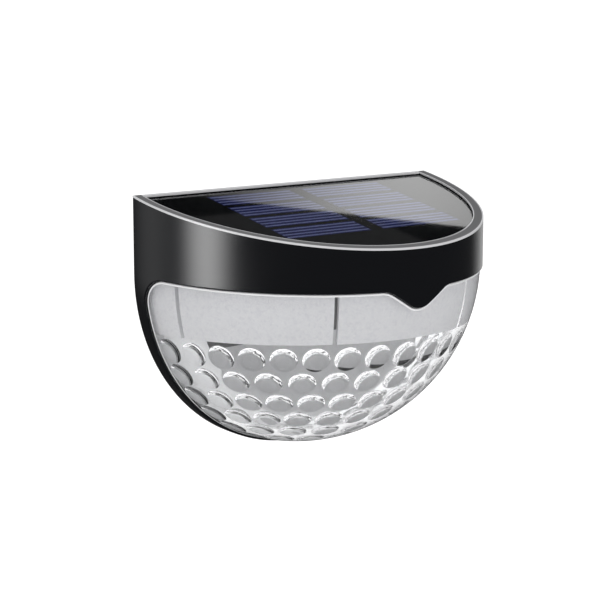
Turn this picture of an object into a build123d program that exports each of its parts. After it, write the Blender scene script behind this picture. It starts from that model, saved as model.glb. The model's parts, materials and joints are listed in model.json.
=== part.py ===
from build123d import *
from math import acos, cos, degrees, hypot, radians, sin, sqrt, tan
import os

# Solar fence light, in millimetres. The wall is the plane y = 0 and the light stands out towards -Y.
# +Z is up and +X is to the right for someone who faces the wall. The origin lies on the back face,
# midway between the two keyholes and at their height.

# The body is one round form about an upright axis: a straight side above, a dome below, cut by the wall.
body_width = 116.0          # across the back, at the wall
axis_offset = 4.5           # from the wall to the axis of the round form
dome_height = -0.9          # height at which the straight side turns into the dome
roof_height = 22.3          # top edge at the wall
roof_slope = 12.1           # degrees, falling away from the wall
shell_wall = 1.8            # wall of the housing

# The opening in the housing that the lens looks out of
flange_depth = 5.0          # black rim left between the wall and the lens
opening_corner = 8.5        # radius of the opening's upper corners
rim_round = 0.4             # rounding of the opening's edge
back_round = 0.5            # rounding of the edge at the wall
band_edge_back = -1.2       # height of the band's lower edge, carried back to the wall
band_edge_fall = 0.038      # fall of that edge per millimetre away from the wall
dip_half_width = 11.3       # the V-shaped dip at the front of the band
dip_depth = 6.95            # before its tip is rounded
dip_tip_radius = 6.5
dip_shoulder_radius = 8.0
dip_blend = 0.06            # the dip's shoulders start this far above the band's edge

# The lens
lens_inset = 0.75           # the lens lies this far inside the housing's outer face
lens_wall = 2.0             # wall of the part that is tucked behind the housing
lens_gap = 0.2              # clearance to the housing
lens_top = 1.0              # height of its upper rim, behind the band
lens_round = 0.3            # rounding of the border that shows
rim_seat = 3.3              # distance from the wall to the seat of the gasket
bump_diameter = 8.1         # low round bumps on the inner face of the dome
bump_height = 1.6
bump_pitch = 9.4            # distance between the bumps of a row
bump_first_row = 24.3       # degrees below the turn of the dome
bump_row_step = 9.0
bump_rows = 7
bump_end_depth = 8.1        # from the wall to the middle of the last bump of each row
bump_root = 0.1             # the bumps reach this far into the dome's wall

# The frosted diffuser behind the upper part of the lens
diffuser_gap = 0.3
diffuser_wall = 1.5
diffuser_bottom = -18.3
slot_width = 1.3
slot_angles = (26.6, 77.5)  # degrees from the front, on both sides
slot_top = -1.4
diffuser_end_gap = 0.3      # its two ends stop this far in front of the gasket
lug_angles = (0.0, 45.0)    # lugs that snap into the tray
lug_width = 6.0
lug_gap = 0.1

# The panel on the roof, from the top down
ring_width = 3.2
ring_back_width = 1.4
ring_height = 0.5
ring_round = 0.2
cover_recess = 0.8
cover_thickness = 1.5
board_thickness = 1.2
pad_thickness = 0.6
pad_width = 3.0
pad_inset = 1.0
deck_thickness = 2.0
panel_gap = 0.15
cell_margin = 3.5           # from the front corners of the cells to the ring
cell_height = 8.7
cell_thickness = 0.25
cell_rows = 4
cell_row_pitch = 10.5
cell_column_gap = 4.6
cell_first_edge = 4.2       # down the slope from the wall to the first row of cells
cell_pocket_gap = 0.3
cell_headroom = 0.1

# The back plate and its keyholes
plate_thickness = 2.5
plate_gap = 0.25
gasket_width = 1.6
gasket_gap = 0.3
keyhole_spacing = 72.0
keyhole_entry_radius = 4.2
keyhole_slot_width = 4.2
keyhole_slot_length = 6.0   # from the centre of the entry to the centre of the slot's end
keyhole_z = 0.0             # height of the entry's centre
cup_gap = 0.4               # room round a screw head behind the keyhole
cup_depth = 3.2
cup_wall = 1.2
top_screw_inset = 6.2       # from the housing's inner face
top_screw_z = 8.0
low_screw_inset = 7.7       # from the lens's inner face
low_screw_fall = 39.0       # degrees below the turn of the dome
screw_pad_radius = 4.0
screw_pad_height = 1.5
case_boss_radius = 3.5
case_boss_length = 9.0
boss_web = 3.0

# Screws: one size for the case and the reflector, a smaller one for the board
screw_head_radius = 2.7
screw_head_height = 1.6
screw_radius = 1.2
screw_gap = 0.05            # thread in its pilot hole
screw_length = 8.0
pilot_room = 0.5            # the pilot hole is this much deeper than the screw
sink_gap = 0.35             # round the head in its counterbore
sink_depth = 1.9
small_head_radius = 2.0
small_head_height = 1.2
small_screw_radius = 0.9
small_screw_length = 4.0
cross_width = 0.28          # arms of the cross recess, as a share of the head's radius
head_round = 0.4            # rounding of the head, as a share of its height

# The reflector: an upright plate behind the dome with a skirt round it, and a tray above it
reflector_thickness = 1.2
reflector_front = -20.0     # front face of the upright plate
reflector_round = 8.0       # outside rounding between the plate and the skirt
reflector_gap = 0.3         # from the skirt to the diffuser, and to the back plate
post_radius = 3.0
tray_screw_turns = (-60.5, 0.0, 60.5)   # degrees from the front
tray_screw_inset = 8.0      # from the tray's edge
tray_screw_length = 4.4
deck_boss_radius = 3.0

# The lamps
led_board_length = 62.0
led_board_width = 16.0
led_board_thickness = 1.2
led_board_margin = 3.4      # from its front corners to the edge of the upright plate's plan
board_corner = 2.0
led_count = 6
led_end_room = 6.0          # from the board's end to the centre of its first lamp
led_length = 3.5
led_width = 2.8
led_height = 1.9
led_chamfer = 0.4
led_window_gap = 0.4
stake_inset = 2.4           # from the board's end
stake_radius = 1.2
stake_gap = 0.1
stake_head_radius = 2.0
stake_head_height = 0.8

# The battery and its holder
battery_radius = 7.1
battery_length = 50.5
battery_button_radius = 2.75
battery_button_length = 1.0
battery_y = -11.0
battery_z = -12.0
battery_gap = 0.2
battery_round = 0.6
holder_wall = 1.5
holder_lip = 3.5            # the holder's arms reach this far past the battery's axis
holder_mouth = 12.4
contact_thickness = 0.4
contact_bump_radius = 2.4
contact_bump_height = 1.4
contact_width = 6.0
contact_tail = 2.0

# The control board and the switch
control_length = 44.0
control_height = 18.0
control_thickness = 1.2
control_corner_gap = 3.9    # from its lower corners to the dome
standoff_height = 4.5
standoff_radius = 2.4
standoff_inset = 3.0        # from the board's end
chip_size = (5.0, 1.6, 4.0)
chip_chamfer = 0.3
chip_x = 12.0
inductor_radius = 2.2
inductor_length = 6.5
inductor_x = -6.0
capacitor_radius = 2.5
capacitor_length = 7.0
capacitor_round = 0.5
capacitor_x = 3.5
switch_length = 8.6
switch_width = 4.4
switch_height = 3.6
switch_lid = 0.6
switch_travel = 3.0
knob_length = 2.4
knob_width = 2.0
knob_chamfer = 0.3
knob_reach = 0.3            # distance left between the knob's end and the wall
foot_length = 2.8
foot_width = 3.0
foot_height = 1.0
switch_gap = 0.2
finger_recess = (12.0, 8.0)
finger_recess_depth = 1.4

# Leads inside the housing. Each pair runs down both ends of the battery holder to the control board.
# A lane is given by its distance from the holder's end and its depth, and a joint by its distance
# from the middle of the control board and from that board's top edge.
lead_diameter = 1.2
lead_bend = 1.8
lead_rise = 4.0             # straight out of a board or contact before the first bend
joint_reach = 4.8           # straight onto the control board
deck_hole_radius = 1.6
panel_lead_x = 20.0
panel_lead_y = -12.0
panel_lead_drop = 5.5       # straight down through the roof
panel_lead_slant = 5.0      # and this much lower where it has reached its lane
panel_lead_lane = (5.0, -15.0)
panel_lane_end = 11.0       # the lane ends this far above the control board
panel_lead_step = 3.5       # the last bend is this far above the joint
led_lead_x = 12.0
led_lead_inset = 2.0        # from the back edge of the lamp board
led_lead_lane = (2.5, -16.6)
led_lane_end = 2.0
led_lead_step = 6.5
panel_joint = (15.0, 4.5)
led_joint = (14.5, 14.5)
battery_joint = (8.5, 3.0)

far = 200.0
overrun = 1.0               # a cut runs this far past a face
near = 0.02                 # an edge this close to a surface lies on it

body_radius = hypot(body_width / 2, axis_offset)
inner_radius = body_radius - shell_wall
lens_radius = body_radius - lens_inset
lens_base_radius = inner_radius - lens_gap
lens_inner_radius = lens_base_radius - lens_wall
diffuser_radius = lens_inner_radius - diffuser_gap
diffuser_inner_radius = diffuser_radius - diffuser_wall
reflector_radius = diffuser_inner_radius - reflector_gap
cover_depth = cover_recess + cover_thickness
board_depth = cover_depth + board_thickness
pad_depth = board_depth + pad_thickness
deck_depth = pad_depth + deck_thickness
pad_face = plate_thickness + screw_pad_height
tray_top = lens_top
tray_bottom = tray_top - reflector_thickness
reflector_back = reflector_front + reflector_thickness
tray_screw_radius = reflector_radius - tray_screw_inset
top_screw_x = sqrt(inner_radius ** 2 - axis_offset ** 2) - top_screw_inset
low_screw_radius = sqrt(lens_inner_radius ** 2 - axis_offset ** 2) - low_screw_inset
low_screw_x = low_screw_radius * cos(radians(low_screw_fall))
low_screw_z = dome_height - low_screw_radius * sin(radians(low_screw_fall))
led_board_reach = sqrt((reflector_radius - led_board_margin) ** 2 - (led_board_length / 2) ** 2)
led_board_y = led_board_width / 2 - axis_offset - led_board_reach
led_pitch = (led_board_length - 2 * led_end_room) / (led_count - 1)
stake_x = led_board_length / 2 - stake_inset
cells_end = cell_first_edge + (cell_rows - 1) * cell_row_pitch + cell_height
cells_front = cells_end * cos(radians(roof_slope)) - axis_offset
cell_reach = sqrt((body_radius - ring_width - cell_margin) ** 2 - cells_front ** 2)
cell_length = cell_reach - cell_column_gap / 2
control_back = -(plate_thickness + standoff_height)
control_front = control_back - control_thickness
control_reach = sqrt((lens_inner_radius - control_corner_gap) ** 2 - (control_length / 2) ** 2)
control_z = dome_height - control_reach + control_height / 2
standoff_x = control_length / 2 - standoff_inset
holder_inner = battery_length / 2 + contact_bump_height + contact_thickness + battery_gap / 2
holder_outer = holder_inner + holder_wall
holder_half_height = battery_radius + battery_gap + holder_wall
switch_face = control_back + switch_height
knob_rest_x = -switch_travel / 2
pilot_end = -sink_depth - screw_length - pilot_room
control_top = control_z + control_height / 2
lead_radius = lead_diameter / 2

centre = Align.CENTER
low = Align.MIN
high = Align.MAX


def roof_z(y, depth=0.0):
    slope = radians(roof_slope)
    return roof_height + y * tan(slope) - depth / cos(slope)


def edge_z(y):
    return band_edge_back + band_edge_fall * y


# A box given by the limits of its three sides
def block(x_limits, y_limits, z_limits):
    sides = [limits[1] - limits[0] for limits in (x_limits, y_limits, z_limits)]
    corner = (x_limits[0], y_limits[0], z_limits[0])
    return Pos(*corner) * Box(*sides, align=(low, low, low))


# Everything between two distances from the wall
def slab(front, back):
    return block((-far, far), (front, back), (-far, far))


# A rod along Y from the first depth to the second
def rod_y(radius, x, z, front, back):
    return Pos(x, back, z) * Rot(90, 0, 0) * Cylinder(radius, back - front, align=(centre, centre, low))


def rod_z(radius, x, y, bottom, top):
    return Pos(x, y, bottom) * Cylinder(radius, top - bottom, align=(centre, centre, low))


# A rod along X on the battery's axis
def rod_x(radius, start, end):
    rod = Cylinder(radius, end - start, align=(centre, centre, low))
    return Pos(start, battery_y, battery_z) * Rot(0, 90, 0) * rod


# The round form of the given radius: dome below, straight side above
def round_body(radius):
    top = roof_height - dome_height + body_radius
    outline = Polyline((0, -radius), (0, top), (radius, top), (radius, 0))
    section = make_face(Plane.YZ * (outline + CenterArc((0, 0), radius, 270, 90)))
    return Pos(0, -axis_offset, dome_height) * revolve(section, Axis.Z, 360)


# The edges that run along the outside of a round body, without the line where its dome begins
def outer_edges(body, radius):
    def lies_on(point):
        drop = min(point.Z - dome_height, 0)
        return abs(hypot(point.X, point.Y + axis_offset, drop) - radius) < near
    edges = [edge for edge in body.edges() if all(lies_on(edge @ place) for place in (0, 0.5, 1))]
    return [edge for edge in edges if abs((edge @ 0.5).Z - dome_height) > near]


# An upright column with the plan of the round form, trimmed at the back
def column(radius, back):
    return Pos(0, -axis_offset, 0) * Cylinder(radius, 2 * far) & slab(-far, back)


# Everything below the roof, lowered by a depth measured square to the roof
def under_roof(depth):
    corners = [(far, roof_z(far, depth)), (-far, roof_z(-far, depth)), (-far, -2 * far), (far, -2 * far)]
    side = make_face(Plane.YZ * Polyline(*corners, close=True))
    return extrude(side, amount=far, both=True)


# A sheet that lies along the roof between two depths
def roof_layer(radius, back, top_depth, bottom_depth):
    return column(radius, back) & under_roof(top_depth) - under_roof(bottom_depth)


# A place on the roof: across, down the slope from the wall, and below the surface
def on_roof(x, down, depth):
    slope = radians(roof_slope)
    roof = Plane(origin=(0, 0, roof_height), x_dir=(1, 0, 0), z_dir=(0, -sin(slope), cos(slope)))
    return roof * Pos(x, -down, -depth)


# The space that the lens looks out of. The inset makes it smaller all round.
def opening(inset=0.0):
    front = -flange_depth - inset
    corners = [(front, edge_z(front) - inset), (-far, edge_z(-far) - inset), (-far, -far), (front, -far)]
    side = make_face(Polyline(*corners, close=True))
    upper_corner = side.vertices().sort_by_distance((*corners[0], 0))[0]
    side = fillet(upper_corner, opening_corner - inset)
    window = extrude(Plane.YZ * side, amount=far, both=True)
    return window - dip(inset)


# The V-shaped dip of the band, from above the band's edge down to its rounded tip
def dip(growth):
    front = -axis_offset - sqrt(body_radius ** 2 - (dip_half_width + dip_shoulder_radius / 2) ** 2)
    shoulder = edge_z(front) + dip_blend
    side_x = dip_half_width + dip_shoulder_radius / 2
    corners = [(-side_x, 0), (-dip_half_width, 0), (0, -dip_depth), (dip_half_width, 0), (side_x, 0),
               (side_x, dip_depth), (-side_x, dip_depth)]
    shape = make_face(Polyline(*corners, close=True))
    tip = shape.vertices().sort_by_distance((0, -dip_depth, 0))[0]
    shape = fillet(tip, dip_tip_radius)
    for side in (-1, 1):
        corner = shape.vertices().sort_by_distance((side * dip_half_width, 0, 0))[0]
        shape = fillet(corner, dip_shoulder_radius)
    if growth:
        shape = offset(shape, growth)
    return extrude(Plane.XZ * Pos(0, shoulder) * shape, amount=far)


# A screw with its head above the XY plane and its shank below
def screw(head_radius, head_height, shank_radius, length):
    body = Cylinder(head_radius, head_height, align=(centre, centre, low))
    body = fillet(body.faces().sort_by(Axis.Z)[-1].edges(), head_height * head_round)
    body += Cylinder(shank_radius, length, align=(centre, centre, high))
    for turn in (0, 90):
        arm = Box(head_radius, head_radius * cross_width, head_height)
        body -= Pos(0, 0, head_height) * Rot(0, 0, turn) * arm
    return body


def case_screw(length):
    return screw(screw_head_radius, screw_head_height, screw_radius, length)


# Moves a screw so that its head is seated at a point and looks the given way
def seated(body, point, outward):
    return Plane(origin=point, z_dir=outward) * body


def back_screw_places():
    places = [(side * top_screw_x, top_screw_z) for side in (-1, 1)]
    return places + [(side * low_screw_x, low_screw_z) for side in (-1, 1)]


def tray_screw_places():
    turns = [radians(turn) for turn in tray_screw_turns]
    return [(tray_screw_radius * sin(turn), -axis_offset - tray_screw_radius * cos(turn)) for turn in turns]


def make_housing():
    shell = round_body(body_radius) & slab(-far, 0) & under_roof(ring_height)
    shell -= round_body(inner_radius) & under_roof(deck_depth)
    shell -= column(body_radius - ring_width, -ring_back_width) - under_roof(pad_depth)
    shell -= opening()
    ledge = round_body(body_radius - shell_wall / 2) & slab(-flange_depth, -rim_seat)
    ledge &= under_roof(deck_depth - deck_thickness / 2)
    ledge -= round_body(lens_inner_radius) & under_roof(deck_depth + gasket_gap + gasket_width)
    ledge -= block((-far, far), (-far, 0), (-far, lens_top + lens_gap))
    shell += ledge
    for side in (-1, 1):
        shell += case_boss(side)
    for x, y in tray_screw_places():
        shell += rod_z(deck_boss_radius, x, y, tray_top, far) & under_roof(deck_depth - deck_thickness / 2)
        pilot_top = tray_bottom + tray_screw_length + pilot_room
        shell -= rod_z(screw_radius + screw_gap, x, y, tray_bottom, pilot_top)
    for side in (-1, 1):
        shell -= rod_z(deck_hole_radius, side * panel_lead_x, panel_lead_y, lens_top, far)
        shell -= rod_y(screw_radius + screw_gap, side * top_screw_x, top_screw_z, pilot_end, 0)
    return round_housing(shell)


# Rounds the edge of the opening, then the edge at the wall
def round_housing(shell):
    edges = [edge for edge in outer_edges(shell, body_radius) if (edge @ 0.5).Z < lens_top]
    shell = fillet([edge for edge in edges if (edge @ 0.5).Y < near - flange_depth], rim_round)
    edges = outer_edges(shell, body_radius)
    edges = [edge for edge in edges if all((edge @ place).Y > -near for place in (0, 0.5, 1))]
    return fillet(edges, back_round)


# A boss for a case screw, tied to the side wall by a web
def case_boss(side):
    end = -pad_face - case_boss_length
    boss = rod_y(case_boss_radius, side * top_screw_x, top_screw_z, end, -pad_face)
    web_z = (top_screw_z - boss_web / 2, top_screw_z + boss_web / 2)
    web_x = sorted((side * top_screw_x, side * far))
    web = block(web_x, (end, -pad_face), web_z) & round_body(body_radius - shell_wall / 2)
    return boss + web


def make_trim_ring():
    ring = roof_layer(body_radius, 0, 0, ring_height) - column(body_radius - ring_width, -ring_back_width)
    top_face = ring.faces().sort_by(Axis.Z)[-1]
    return fillet(top_face.edges(), ring_round)


def make_panel_pad():
    outer = body_radius - ring_width - pad_inset
    back = -ring_back_width - pad_inset
    return roof_layer(outer, back, board_depth, pad_depth) - column(outer - pad_width, back - pad_width)


# A layer that fills the well in the roof, with clearance at its edge
def well_layer(top_depth, bottom_depth):
    back = -ring_back_width - panel_gap
    return roof_layer(body_radius - ring_width - panel_gap, back, top_depth, bottom_depth)


def make_panel_board():
    return well_layer(cover_depth, board_depth)


def cell_column_x(column_index):
    return (column_index - 0.5) * (cell_length + cell_column_gap)


def make_panel_cover():
    width = 2 * (cell_reach + cell_pocket_gap)
    height = cells_end - cell_first_edge + 2 * cell_pocket_gap
    middle = (cell_first_edge + cells_end) / 2
    pocket = Box(width, height, 2 * (cell_thickness + cell_headroom))
    return well_layer(cover_recess, cover_depth) - on_roof(0, middle, cover_depth) * pocket


def make_cells():
    cells = []
    for row in range(cell_rows):
        for column_index in range(2):
            down = cell_first_edge + cell_height / 2 + row * cell_row_pitch
            wafer = Box(cell_length, cell_height, cell_thickness, align=(centre, centre, low))
            cells.append(on_roof(cell_column_x(column_index), down, cover_depth) * wafer)
    return cells


# One bump: the cap of a ball, its middle on the Z axis and its flat side just inside the dome's wall
def make_bump():
    rim = bump_diameter / 2
    rim_height = sqrt(lens_inner_radius ** 2 - rim ** 2)
    cap_height = rim_height - lens_inner_radius + bump_height
    ball = (rim ** 2 + cap_height ** 2) / (2 * cap_height)
    tip = lens_inner_radius - bump_height
    cut = Cylinder(2 * rim, rim_height + bump_root - tip, align=(centre, centre, low))
    return Pos(0, 0, tip + ball) * Sphere(ball) & Pos(0, 0, tip) * cut


# The bumps of one row, spread evenly from side to side
def bump_row(row):
    fall = bump_first_row + row * bump_row_step
    row_radius = lens_inner_radius * cos(radians(fall))
    last_turn = acos((bump_end_depth - axis_offset) / row_radius)
    gaps = max(1, round(2 * last_turn * row_radius / bump_pitch))
    bump = make_bump()
    bumps = []
    for index in range(gaps + 1):
        turn = degrees(last_turn) * (2 * index / gaps - 1)
        bumps.append(Pos(0, -axis_offset, dome_height) * Rot(0, 0, turn) * Rot(90 + fall, 0, 0) * bump)
    return bumps


def make_lens():
    lens = round_body(lens_radius) & opening(lens_gap)
    lens = fillet(outer_edges(lens, lens_radius), lens_round)
    tucked = round_body(lens_base_radius) & block((-far, far), (-far, -rim_seat), (-far, lens_top))
    lens = lens + tucked - round_body(lens_inner_radius)
    for row in range(bump_rows):
        lens += bump_row(row)
    return lens


def make_diffuser():
    limits = block((-far, far), (-far, -rim_seat - diffuser_end_gap), (diffuser_bottom, tray_bottom))
    sleeve = (round_body(diffuser_radius) - round_body(diffuser_inner_radius)) & limits
    for angle in slot_angles:
        for side in (-1, 1):
            cut = block((-slot_width / 2, slot_width / 2), (-far, 0), (-far, slot_top))
            sleeve -= Pos(0, -axis_offset, 0) * Rot(0, 0, side * angle) * cut
    for turn in lug_turns():
        sleeve += lug(turn, 0) - block((-far, far), (-far, far), (tray_top, far))
    return sleeve


def lug_turns():
    return [side * angle for angle in lug_angles for side in (-1, 1) if angle or side > 0]


# The part of the sleeve's wall that stands in a notch of the tray
def lug(turn, growth):
    half = lug_width / 2 + growth
    sector = Pos(0, -axis_offset, 0) * Rot(0, 0, turn) * block((-half, half), (-far, 0), (tray_bottom, far))
    wall = Pos(0, -axis_offset, 0) * (Cylinder(diffuser_radius + growth, 2 * far)
                                      - Cylinder(diffuser_inner_radius - growth, 2 * far))
    return wall & sector


def led_places():
    return [((index - (led_count - 1) / 2) * led_pitch, led_board_y) for index in range(led_count)]


# The reflector's outer form, made smaller all round by the inset, with the border of its front rounded
def bowl(inset, back):
    front = reflector_front + inset
    form = round_body(reflector_radius - inset) & slab(front, back)
    rim = [edge for edge in form.edges() if all(abs((edge @ place).Y - front) < near for place in (0, 1))]
    return fillet([edge for edge in rim if (edge @ 0.5).Z < body_radius], reflector_round - inset)


def make_reflector():
    plate = bowl(0, -plate_thickness - reflector_gap) - bowl(reflector_thickness, 0)
    plate -= block((-far, far), (-far, 0), (tray_top, far))
    plate += round_body(diffuser_radius) & block((-far, far), (-far, reflector_back), (tray_bottom, tray_top))
    for turn in lug_turns():
        plate -= lug(turn, lug_gap)
    for x, y in led_places():
        half_x = led_length / 2 + led_window_gap
        half_y = led_width / 2 + led_window_gap
        plate -= block((x - half_x, x + half_x), (y - half_y, y + half_y), (-far, far))
    for x, y in tray_screw_places():
        plate -= rod_z(screw_radius + 2 * screw_gap, x, y, -far, far)
    for side in (-1, 1):
        plate += rod_y(post_radius, side * low_screw_x, low_screw_z, reflector_back, -pad_face)
        plate -= rod_y(screw_radius + screw_gap, side * low_screw_x, low_screw_z, pilot_end, 0)
        x = side * stake_x
        stake_top = tray_top + led_board_thickness
        plate += rod_z(stake_radius, x, led_board_y, tray_top, stake_top)
        plate += rod_z(stake_head_radius, x, led_board_y, stake_top, stake_top + stake_head_height)
    return plate


def make_led_board():
    half_x = led_board_length / 2
    half_y = led_board_width / 2
    board = block((-half_x, half_x), (led_board_y - half_y, led_board_y + half_y),
                  (tray_top, tray_top + led_board_thickness))
    board = fillet(board.edges().filter_by(Axis.Z), board_corner)
    for side in (-1, 1):
        board -= rod_z(stake_radius + stake_gap, side * stake_x, led_board_y, 0, far)
    return board


def make_led(x, y):
    body = Pos(x, y, tray_top) * Box(led_length, led_width, led_height, align=(centre, centre, high))
    return chamfer(body.edges().filter_by(Axis.Z), led_chamfer)


def make_gasket():
    outer = inner_radius - gasket_gap
    seal = round_body(outer) & slab(-rim_seat, -plate_thickness) & under_roof(deck_depth + gasket_gap)
    return seal - (round_body(outer - gasket_width) & under_roof(deck_depth + gasket_gap + gasket_width))


# The entry circle with the narrower slot above it, as wide as the two radii say
def keyhole(x, entry_radius, slot_radius, front, back):
    hole = rod_y(entry_radius, x, keyhole_z, front, back)
    slot_end = keyhole_z + keyhole_slot_length
    hole += rod_y(slot_radius, x, slot_end, front, back)
    return hole + block((x - slot_radius, x + slot_radius), (front, back), (keyhole_z, slot_end))


def make_back_plate():
    outline = round_body(inner_radius - plate_gap) & under_roof(deck_depth + plate_gap)
    plate = outline & slab(-plate_thickness, 0)
    cup_radius = keyhole_entry_radius + cup_gap
    cup_outer = cup_radius + cup_wall
    cup_end = -plate_thickness - cup_depth
    small_pilot = small_screw_radius + screw_gap
    small_pilot_end = control_front + small_screw_length + pilot_room
    for side in (-1, 1):
        x = side * keyhole_spacing / 2
        plate += keyhole(x, cup_outer, cup_outer, cup_end - cup_wall, -plate_thickness)
        plate -= keyhole(x, cup_radius, cup_radius, cup_end, -plate_thickness)
        plate -= keyhole(x, keyhole_entry_radius, keyhole_slot_width / 2, cup_end, overrun)
        plate += rod_y(standoff_radius, side * standoff_x, control_z, control_back, -plate_thickness)
        plate -= rod_y(small_pilot, side * standoff_x, control_z, control_back, small_pilot_end)
    for x, z in back_screw_places():
        pad = rod_y(screw_pad_radius, x, z, -pad_face, -plate_thickness)
        plate += pad & round_body(lens_inner_radius - plate_gap)
        plate -= rod_y(screw_radius + 2 * screw_gap, x, z, -far, overrun)
        plate -= rod_y(screw_head_radius + sink_gap, x, z, -sink_depth, overrun)
    recess_x, recess_z = finger_recess
    plate -= block((-recess_x / 2, recess_x / 2), (-finger_recess_depth, overrun),
                   (control_z - recess_z / 2, control_z + recess_z / 2))
    half_x = (switch_travel + knob_length) / 2 + 2 * switch_gap
    half_z = knob_width / 2 + 2 * switch_gap
    return plate - block((-half_x, half_x), (-far, overrun), (control_z - half_z, control_z + half_z))


def make_back_screws():
    return [seated(case_screw(screw_length), (x, -sink_depth, z), (0, 1, 0)) for x, z in back_screw_places()]


def make_reflector_screws():
    body = case_screw(tray_screw_length)
    return [seated(body, (x, y, tray_bottom), (0, 0, -1)) for x, y in tray_screw_places()]


def make_board_screws():
    body = screw(small_head_radius, small_head_height, small_screw_radius, small_screw_length)
    return [seated(body, (side * standoff_x, control_front, control_z), (0, -1, 0)) for side in (-1, 1)]


def make_control_board():
    half_x = control_length / 2
    half_z = control_height / 2
    board = block((-half_x, half_x), (control_front, control_back), (control_z - half_z, control_z + half_z))
    board = fillet(board.edges().filter_by(Axis.Y), board_corner)
    for side in (-1, 1):
        board -= rod_y(small_screw_radius + 2 * screw_gap, side * standoff_x, control_z, -far, 0)
    return board


def make_chip():
    width, depth, height = chip_size
    body = Pos(chip_x, control_front, control_z) * Box(width, depth, height, align=(centre, high, centre))
    return chamfer(body.faces().sort_by(Axis.Y)[0].edges(), chip_chamfer)


def make_inductor():
    return rod_y(inductor_radius, inductor_x, control_z, control_front - inductor_length, control_front)


def make_capacitor():
    body = rod_y(capacitor_radius, capacitor_x, control_z, control_front - capacitor_length, control_front)
    return fillet(body.faces().sort_by(Axis.Y)[0].edges(), capacitor_round)


def make_battery():
    half = battery_length / 2
    can = rod_x(battery_radius, -half, half - battery_button_length)
    can = fillet(can.edges().filter_by(GeomType.CIRCLE), battery_round)
    return can + rod_x(battery_button_radius, half - battery_button_length, half)


def make_battery_holder():
    z_limits = (battery_z - holder_half_height, battery_z + holder_half_height)
    holder = block((-holder_outer, holder_outer), (battery_y - holder_lip, -plate_thickness), z_limits)
    holder -= rod_x(battery_radius + battery_gap, -holder_inner, holder_inner)
    mouth = (battery_z - holder_mouth / 2, battery_z + holder_mouth / 2)
    holder -= block((-holder_inner, holder_inner), (-far, battery_y), mouth)
    for side in (-1, 1):
        slot_x = sorted((side * holder_inner, side * (holder_inner - contact_thickness - battery_gap)))
        slot_half = contact_width / 2 + battery_gap
        holder -= block(slot_x, (battery_y - slot_half, battery_y + slot_half), (-far, battery_z))
    return holder


# A contact plate with a bump towards the battery and a tail below the holder
def make_contact(side):
    outer = side * holder_inner
    inner = side * (holder_inner - contact_thickness)
    tail_end = battery_z - holder_half_height - contact_tail
    plate = block(sorted((outer, inner)), (battery_y - contact_width / 2, battery_y + contact_width / 2),
                  (tail_end, battery_z + contact_width / 2))
    tip = side * (battery_length / 2 + battery_gap / 2)
    return plate + rod_x(contact_bump_radius, *sorted((inner, tip)))


def make_switch_body():
    half_x = switch_length / 2
    half_z = switch_width / 2
    body = block((-half_x, half_x), (control_back, switch_face), (control_z - half_z, control_z + half_z))
    room_x = (switch_travel + foot_length) / 2 + switch_gap
    room_z = foot_width / 2 + switch_gap
    room_back = switch_face - switch_lid
    body -= block((-room_x, room_x), (room_back - foot_height - 2 * switch_gap, room_back),
                  (control_z - room_z, control_z + room_z))
    slot_x = (switch_travel + knob_length) / 2 + switch_gap
    slot_z = knob_width / 2 + switch_gap
    slot_limits = (control_z - slot_z, control_z + slot_z)
    return body - block((-slot_x, slot_x), (room_back - switch_gap, 0), slot_limits)


def make_switch_knob():
    foot_back = switch_face - switch_lid - switch_gap
    foot = block((knob_rest_x - foot_length / 2, knob_rest_x + foot_length / 2),
                 (foot_back - foot_height, foot_back),
                 (control_z - foot_width / 2, control_z + foot_width / 2))
    stem = block((knob_rest_x - knob_length / 2, knob_rest_x + knob_length / 2), (foot_back, -knob_reach),
                 (control_z - knob_width / 2, control_z + knob_width / 2))
    stem = chamfer(stem.faces().sort_by(Axis.Y)[-1].edges(), knob_chamfer)
    return foot + stem


# A round lead along straight runs joined by arcs, mirrored for the other side
def lead(points, side):
    path = FilletPolyline(*[(side * x, y, z) for x, y, z in points], radius=lead_bend)
    return sweep(Plane(origin=path @ 0, z_dir=path % 0) * Circle(lead_radius), path=path)


# The end of a lead: a bend beside the control board, if the lead comes down a lane, then straight onto it
def lead_end(joint, lane=None, step=0.0):
    x = joint[0]
    z = control_top - joint[1]
    bend = [((lane[0] + x) / 2, lane[1], z + step)] if lane else []
    return bend + [(x, control_front - joint_reach, z), (x, control_front, z)]


def make_panel_lead(side):
    top = roof_z(panel_lead_y - lead_radius, board_depth)
    drop = top - panel_lead_drop
    lane = (holder_outer + panel_lead_lane[0], panel_lead_lane[1])
    points = [(panel_lead_x, panel_lead_y, top), (panel_lead_x, panel_lead_y, drop),
              (*lane, drop - panel_lead_slant), (*lane, control_top + panel_lane_end)]
    return lead(points + lead_end(panel_joint, lane, panel_lead_step), side)


def make_led_lead(side):
    start = (led_lead_x, led_board_y + led_board_width / 2 - led_lead_inset)
    bottom = tray_top + led_board_thickness
    lane = (holder_outer + led_lead_lane[0], led_lead_lane[1])
    points = [(*start, bottom), (*start, bottom + lead_rise), (*lane, bottom + lead_rise),
              (*lane, control_top + led_lane_end)]
    return lead(points + lead_end(led_joint, lane, led_lead_step), side)


def make_battery_lead(side):
    x = holder_inner - contact_thickness / 2
    top = battery_z - holder_half_height - contact_tail
    points = [(x, battery_y, top), (x, battery_y, top - lead_rise)]
    return lead(points + lead_end(battery_joint), side)


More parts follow.
